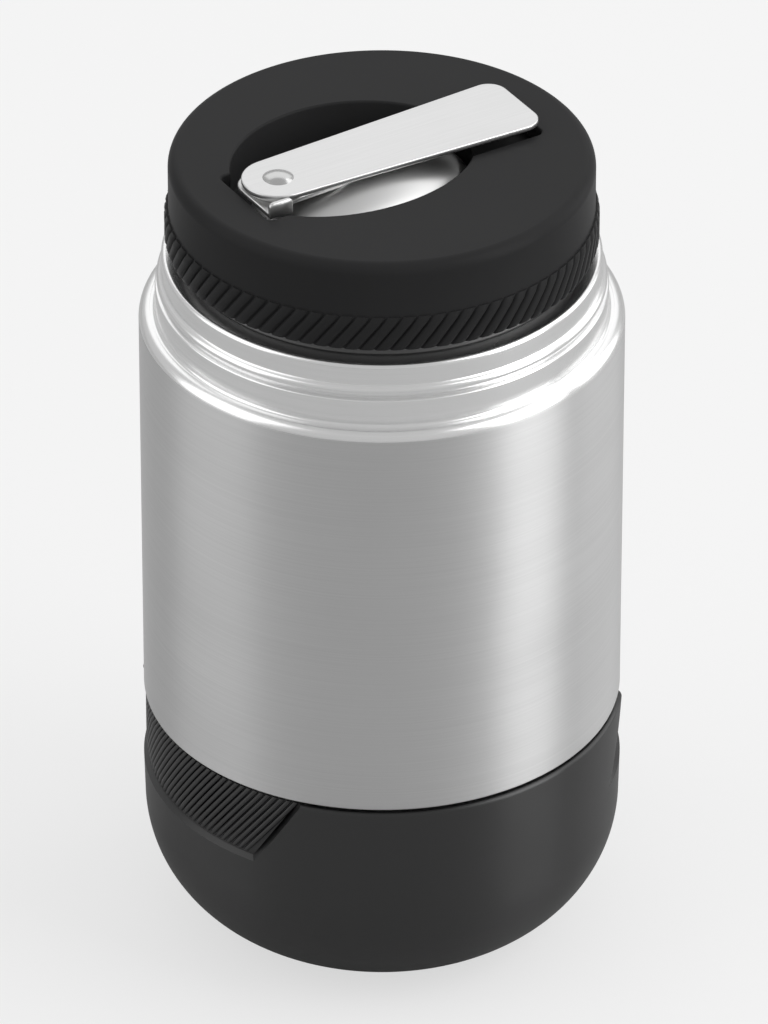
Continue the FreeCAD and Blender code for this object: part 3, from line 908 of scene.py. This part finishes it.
@dataclass
class FoldingSpoon:
    """The folding spoon that lies back up in the lid."""

    lid: ScrewLid = field(default_factory=ScrewLid)
    sheet: float = 1.0
    strap_rise: float = 0.4
    washer: float = 0.8
    bowl_length: float = 43.0
    bowl_width: float = 28.8
    bowl_centre: float = -4.5
    bowl_apex: float = 0.3
    bowl_rim: float = -7.6
    pivot: float = -21.7
    handle_radius: float = 6.6
    handle_end: float = 29.3
    end_width: float = 17.2
    handle_corner: float = 3.6
    edge_round: float = 0.18
    rivet_radius: float = 1.3
    head_radius: float = 2.8
    head_height: float = 0.85
    shank_head_radius: float = 2.4
    shank_head_height: float = 0.6
    hole_radius: float = 1.35
    washer_radius: float = 5.8
    tab_height: float = 2.0
    tab_round: float = 0.8
    slide_gap: float = 0.03
    sheet_steel: MetalFinish = MetalFinish(
        "satin_spoon_steel", 0.73, 0.34, Grain.ALONG_THE_SPOON, 0.000004, math.radians(SPOON_ANGLE))
    bowl_steel: MetalFinish = MetalFinish(
        "satin_bowl_steel", 0.66, 0.38)
    rivet_steel: MetalFinish = MetalFinish(
        "polished_rivet_steel", 0.6, 0.2)

    def plate(self, name: str, ring: Callable[[float], Outline], low: float, high: float) -> Piece:
        """Make a flat plate with softly rounded edges.

        Args:
            name: name of the plate.
            ring: its outline for an inward margin.
            low: height of its underside.
            high: height of its top.

        Returns:
            The plate.
        """
        soft = self.edge_round
        eased = soft * 0.3
        rows = []
        for inset, height in ((soft, low), (eased, low + eased), (0.0, low + soft),
                              (0.0, high - soft), (eased, high - eased), (soft, high)):
            rows.append([self.lid.placed(u, v, height) for u, v in ring(inset)])
        return stacked(name, rows, sharp=CRISP_PLATE)

    def handle_ring(self, inset: float) -> Outline:
        """Return the handle's outline, drawn in by a margin."""
        radius = self.handle_radius - inset
        half = self.end_width / 2 - inset
        end = self.handle_end - inset
        corner = self.handle_corner - inset
        ring = arc(self.pivot, 0.0, radius, 90, 270, 32)
        ring += arc(end - corner, -half + corner, corner, -90, 0, 10)
        ring += arc(end - corner, half - corner, corner, 0, 90, 10)
        return ring

    def strap_ring(self, inset: float) -> Outline:
        """Return the strap's outline, drawn in by a margin."""
        pivot = self.pivot
        left = pivot - 6.3 + inset
        width = 7.0 - inset
        near = -5.4 + inset
        ring = [(left, -width), (pivot - 1.7, -width), (pivot - 1.45, -width + 0.6)]
        ring += [(pivot - 1.3, near), (pivot + 10.0, near + 0.42), (pivot + 22.0, -2.6 + inset)]
        ring += [(pivot + 22.0, 2.6 - inset), (pivot + 10.0, 5.0 - inset)]
        ring += [(pivot - 1.0, 6.2 - inset)]
        ring += arc(left + 4.0, width - 4.6, 4.0, 90, 180, 8)
        return ring

    def bowl(self) -> Piece:
        """Make the bowl as one dished sheet.

        Returns:
            The bowl, back up, rim down.
        """
        rise = self.bowl_apex - self.bowl_rim
        rings, columns = 28, 128
        bm = bmesh.new()
        sheets = []
        for inset in (0.0, self.sheet):
            half_length = self.bowl_length / 2 - inset
            half_width = self.bowl_width / 2 - inset
            apex = self.lid.placed(self.bowl_centre, 0.0, self.bowl_rim + rise - inset)
            sheet = [[bm.verts.new(apex)]]
            for i in range(1, rings + 1):
                lean = math.radians(90.0 * i / rings)
                height = self.bowl_rim + (rise - inset) * math.cos(lean)
                row = []
                for j in range(columns):
                    angle = 2 * math.pi * j / columns
                    u = self.bowl_centre + half_length * math.sin(lean) * math.cos(angle)
                    v = half_width * math.sin(lean) * math.sin(angle)
                    row.append(bm.verts.new(self.lid.placed(u, v, height)))
                sheet.append(row)
            sheets.append(sheet)
        for sheet in sheets:
            for low, high in zip(sheet, sheet[1:]):
                for j in range(columns):
                    k = (j + 1) % columns
                    corners = [low[j % len(low)], low[k % len(low)], high[k], high[j]]
                    bm.faces.new(list(dict.fromkeys(corners)))
        join_rings(bm, [sheet[-1] for sheet in sheets])
        return finish_mesh("spoon_bowl_sheet", bm)

    def tab_side(self, inset: float) -> Outline:
        """Return the stop tab's side outline, its top corners rounded."""
        low = self.strap_rise - self.sheet
        high = self.strap_rise + self.tab_height
        left = self.pivot - 6.3
        right = self.pivot - 1.6
        corner = self.tab_round
        side = [(left + inset, low + inset), (right - inset, low + inset)]
        side += arc(right - corner, high - corner, corner - inset, 0, 90, 5)
        side += arc(left + corner, high - corner, corner - inset, 90, 180, 5)
        return side

    def stop_tab(self) -> Piece:
        """Make the upturned tab that stops the open handle.

        Returns:
            The tab.
        """
        rows = []
        for inset, across in ((0.12, -7.8), (0.0, -7.68), (0.0, -7.12), (0.12, -7.0)):
            rows.append([self.lid.placed(u, across, h) for u, h in self.tab_side(inset)])
        return stacked("spoon_stop_tab", rows, sharp=CRISP_PLATE)

    def at_pivot(self, piece: Piece) -> Piece:
        """Move a turned piece from the axis to the spoon's pivot."""
        place = Vector(self.lid.placed(self.pivot, 0.0, 0.0)) * MM
        piece.data.transform(Matrix.Translation(place))
        return piece

    def build(self) -> None:
        """Make the bowl, strap, tab, washer, rivet and handle."""
        sheet_steel = self.sheet_steel.material()
        bowl_steel = self.bowl_steel.material()
        under = self.strap_rise - self.sheet
        seat = self.strap_rise + self.washer
        dress(self.bowl(), bowl_steel, Body.SPOON, "spoon_steel", "spoon_bowl")
        strap = self.plate("spoon_strap", self.strap_ring, under, self.strap_rise)
        dress(strap, bowl_steel, Body.SPOON, "spoon_steel")
        dress(self.stop_tab(), bowl_steel, Body.SPOON, "spoon_steel")
        hole, rim = self.hole_radius, self.washer_radius
        ring: Outline = [(hole, self.strap_rise), (rim - 0.2, self.strap_rise)]
        ring += [(rim, self.strap_rise + 0.2), (rim, seat - 0.2), (rim - 0.2, seat), (hole, seat)]
        washer = self.at_pivot(lathe("spoon_spacer_washer", ring, 96))
        dress(washer, bowl_steel, Body.SPOON, "spoon_steel", "spoon_washer")
        top = seat + self.sheet
        rivet = self.at_pivot(lathe("spoon_rivet_pin", self.rivet_outline(under, top), 72))
        dress(rivet, self.rivet_steel.material(), Body.SPOON, "spoon_steel", "spoon_rivet")
        blade = self.plate("spoon_folding_handle", self.handle_ring, seat + self.slide_gap, top)
        bore: Outline = [(0.0, seat - 1.0), (hole, seat - 1.0), (hole, top + 1.0), (0.0, top + 1.0)]
        cut_away(blade, [self.at_pivot(lathe("pivot_hole_tool", bore, 48))], sharp=CRISP_PLATE)
        dress(blade, sheet_steel, Body.HANDLE, "spoon_steel", "spoon_handle")

    def rivet_outline(self, under: float, top: float) -> Outline:
        """Return the outline of the rivet, its domed head over the handle.

        Args:
            under: height of the strap's underside.
            top: height of the handle's top.

        Returns:
            The outline, round the axis.
        """
        dome = (self.head_radius ** 2 + self.head_height ** 2) / (2 * self.head_height)
        edge = math.degrees(math.asin(self.head_radius / dome))
        crown = top + self.head_height
        foot = self.shank_head_radius
        low = under - self.shank_head_height
        pin: Outline = [(0.0, low), (foot - 0.2, low), (foot, low + 0.2), (foot, under)]
        pin += [(self.rivet_radius, under), (self.rivet_radius, top)]
        pin += arc(0.0, crown - dome, dome, 90 - edge, 90, 10)[:-1]
        pin += [(0.0, crown)]
        return pin


@dataclass(frozen=True)
class SoftBox:
    """One soft lamp, in metres and watts."""

    name: str
    place: Point
    width: float
    height: float
    power: float

    def hang(self) -> None:
        """Hang the lamp so that it faces the jar."""
        light = bpy.data.lights.new(self.name, "AREA")
        light.shape = "RECTANGLE"
        light.size = self.width
        light.size_y = self.height
        light.energy = self.power
        lamp = bpy.data.objects.new(self.name, light)
        lamp.location = self.place
        aim = Vector((0.0, 0.0, 0.08)) - Vector(self.place)
        lamp.rotation_euler = aim.to_track_quat("-Z", "Y").to_euler()
        bpy.context.scene.collection.objects.link(lamp)


@dataclass
class Studio:
    """The pale floor, the soft lamps and the camera."""

    frame_height: float = 1024.0
    focal_pixels: float = 10380.0
    distance: float = 1.9
    elevation: float = 33.05
    target_height: float = 0.0839
    axis_offset: float = -2.1
    floor_colour: float = 0.5
    floor_seen: float = 0.27
    floor_glow: float = 0.633
    backdrop: float = 0.905
    room_light: float = 0.55
    lamps: Tuple[SoftBox, ...] = (
        SoftBox("right_strip", (1.5, -0.55, 0.9), 1.0, 2.2, 18.0),
        SoftBox("right_rear_strip", (1.45, 0.68, 0.9), 1.2, 2.2, 9.0),
        SoftBox("left_strip", (-1.58, -0.3, 0.9), 1.5, 2.2, 9.0),
        SoftBox("rear_panel", (0.0, 1.6, 1.5), 2.4, 1.6, 7.0),
    )

    def floor(self) -> None:
        """Lay the floor, which shows the jar's soft shadow."""
        mesh = bpy.data.meshes.new("floor")
        side = 6.0
        corners = [(-side, -side, 0), (side, -side, 0), (side, side, 0), (-side, side, 0)]
        mesh.from_pydata(corners, [], [(0, 1, 2, 3)])
        plane = bpy.data.objects.new("floor", mesh)
        bpy.context.scene.collection.objects.link(plane)
        mat = new_material("pale_floor")
        tree = mat.node_tree
        seen = add_node(tree, "ShaderNodeLightPath", {}).outputs["Is Camera Ray"]
        tone = add_node(tree, "ShaderNodeMapRange", {
            "Value": seen, "To Min": self.floor_colour, "To Max": self.floor_seen})
        glow = add_node(tree, "ShaderNodeMath", {0: seen, 1: self.floor_glow}, "MULTIPLY")
        set_inputs(tree, tree.nodes["Principled BSDF"], {
            "Base Color": tone.outputs["Result"], "Roughness": 0.9, "Specular IOR Level": 0.0,
            "Emission Color": WHITE, "Emission Strength": glow.outputs[0]})
        plane.data.materials.append(mat)

    def world(self) -> None:
        """Light the room evenly and show a near-white backdrop."""
        world = bpy.data.worlds.new("studio")
        bpy.context.scene.world = world
        world.use_nodes = True
        tree = world.node_tree
        seen = add_node(tree, "ShaderNodeLightPath", {}).outputs["Is Camera Ray"]
        level = add_node(tree, "ShaderNodeMapRange", {
            "Value": seen, "To Min": self.room_light, "To Max": self.backdrop})
        set_inputs(tree, tree.nodes["Background"], {
            "Color": WHITE, "Strength": level.outputs["Result"]})

    def camera(self) -> None:
        """Set the camera at the photograph's viewing angle."""
        data = bpy.data.cameras.new("camera")
        data.lens = self.focal_pixels * SENSOR_WIDTH / self.frame_height
        data.sensor_width = SENSOR_WIDTH
        data.shift_x = -self.axis_offset / self.frame_height
        data.clip_end = 50.0
        camera = bpy.data.objects.new("camera", data)
        lean = math.radians(self.elevation)
        camera.location = (0.0, -self.distance * math.cos(lean),
                           self.target_height + self.distance * math.sin(lean))
        camera.rotation_euler = (math.pi / 2 - lean, 0.0, 0.0)
        bpy.context.scene.collection.objects.link(camera)
        bpy.context.scene.camera = camera

    def build(self) -> None:
        """Set up the whole studio."""
        self.floor()
        self.world()
        for lamp in self.lamps:
            lamp.hang()
        self.camera()
        bpy.context.scene.view_settings.view_transform = "Standard"


def hidden_finishes(frame: Dict[str, Dict[str, Piece]]) -> None:
    """Give the sealed inner solids a plain finish of their own.
    """
    copper = MetalFinish("copper_foil", 0.55, 0.3).material()
    shader = copper.node_tree.nodes["Principled BSDF"]
    shader.inputs["Base Color"].default_value = (0.72, 0.42, 0.28, 1.0)
    steel = MetalFinish("plain_steel", 0.5, 0.35).material()
    foam = MouldedFinish("white_foam", (0.75, 0.75, 0.7), 0.9).material()
    for node, material in (("foil_wrap", copper), ("getter", steel), ("bottom_cap", steel),
                           ("vacuum_seal", steel), ("boot_glue", foam), ("lid_foam", foam)):
        mesh = frame["nodes"][node].data
        mesh.materials.clear()
        mesh.materials.append(material)


def main() -> None:
    """Load the frame, dress it and set the studio."""
    logging.basicConfig(level=logging.INFO, format="%(name)s: %(message)s")
    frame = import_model()
    hidden_finishes(frame)
    lid = ScrewLid()
    for part in (SteelJar(), RubberBoot(), lid, FoldingSpoon(lid=lid), Studio()):
        LOG.info("building %s", type(part).__name__)
        part.build()
    bpy.context.view_layer.update()


if __name__ == "__main__":
    main()
